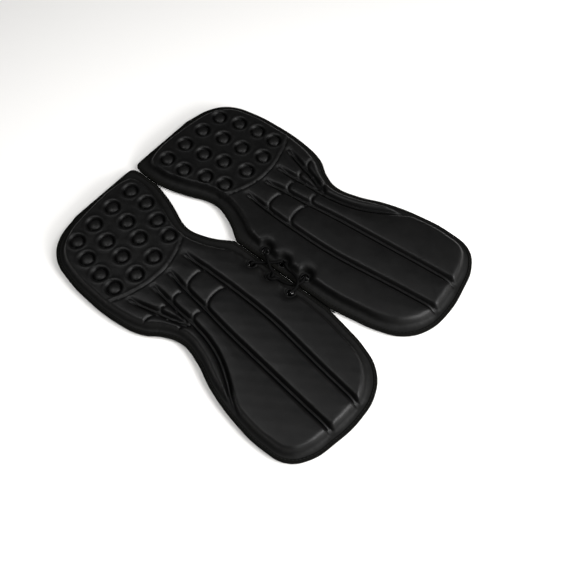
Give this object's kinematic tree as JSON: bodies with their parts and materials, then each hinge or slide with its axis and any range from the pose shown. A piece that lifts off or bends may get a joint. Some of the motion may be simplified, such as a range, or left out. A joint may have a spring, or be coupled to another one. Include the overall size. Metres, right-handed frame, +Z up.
{
  "type": "laced leg protector pads",
  "caption": "Mirror-image pair of flat moulded leg pads with domed upper panels and channelled lower panels, laced together edge to edge through eyelets.",
  "frame": {"origin": "on the surface that the pads lie on, under the middle of the pair's outline and on its laced centre line", "axes": "+Z up out of the pads' fronts, +Y along the pads towards their domed ends, +X across the pair towards the right pad"},
  "size_m": [0.326, 0.396, 0.017],
  "materials": {
    "cover": "black synthetic leather, satin, fine grain",
    "foam": "closed-cell foam",
    "board": "thin flexible board",
    "lining": "black knitted lining",
    "binding": "woven black edge tape",
    "eyelet": "black enamelled brass",
    "lace": "braided black polyester",
    "lace_tip": "black sleeve"
  },
  "bodies": {
    "left_lower": {"left_lower_cover": "cover", "left_lower_core": "foam", "left_lower_board": "board", "left_lower_lining": "lining", "left_lower_binding": "binding", "left_eyelet_1": "eyelet", "left_washer_1": "eyelet", "left_eyelet_2": "eyelet", "left_washer_2": "eyelet", "left_eyelet_3": "eyelet", "left_washer_3": "eyelet", "lace": "lace", "lace_tip_left": "lace_tip"},
    "left_band": {"left_band_cover": "cover", "left_band_core": "foam", "left_band_board": "board", "left_band_lining": "lining", "left_band_binding_outer": "binding", "left_band_binding_inner": "binding"},
    "left_upper": {"left_upper_cover": "cover", "left_upper_core": "foam", "left_upper_board": "board", "left_upper_lining": "lining", "left_upper_binding": "binding"},
    "right_lower": {"right_lower_cover": "cover", "right_lower_core": "foam", "right_lower_board": "board", "right_lower_lining": "lining", "right_lower_binding": "binding", "right_eyelet_1": "eyelet", "right_washer_1": "eyelet", "right_eyelet_2": "eyelet", "right_washer_2": "eyelet", "right_eyelet_3": "eyelet", "right_washer_3": "eyelet", "lace_tip_right": "lace_tip"},
    "right_band": {"right_band_cover": "cover", "right_band_core": "foam", "right_band_board": "board", "right_band_lining": "lining", "right_band_binding_outer": "binding", "right_band_binding_inner": "binding"},
    "right_upper": {"right_upper_cover": "cover", "right_upper_core": "foam", "right_upper_board": "board", "right_upper_lining": "lining", "right_upper_binding": "binding"}
  },
  "joints": [
    {"name": "lacing_fold", "type": "hinge", "parent": "left_lower", "child": "right_lower", "pos_m": [0, 0, 0.0075], "axis": [0, 1, 0], "range_deg": [-75, 0], "deforming": ["lace"]},
    {"name": "left_lower_flex", "type": "hinge", "parent": "left_lower", "child": "left_band", "pos_m": [-0.08, 0.0105, 0.006], "axis": [1, 0, 0], "range_deg": [-15, 20]},
    {"name": "left_upper_flex", "type": "hinge", "parent": "left_band", "child": "left_upper", "pos_m": [-0.08, 0.036, 0.006], "axis": [1, 0, 0], "range_deg": [-15, 20]},
    {"name": "right_lower_flex", "type": "hinge", "parent": "right_lower", "child": "right_band", "pos_m": [0.08, 0.0105, 0.006], "axis": [1, 0, 0], "range_deg": [-15, 20]},
    {"name": "right_upper_flex", "type": "hinge", "parent": "right_band", "child": "right_upper", "pos_m": [0.08, 0.036, 0.006], "axis": [1, 0, 0], "range_deg": [-15, 20]}
  ]
}
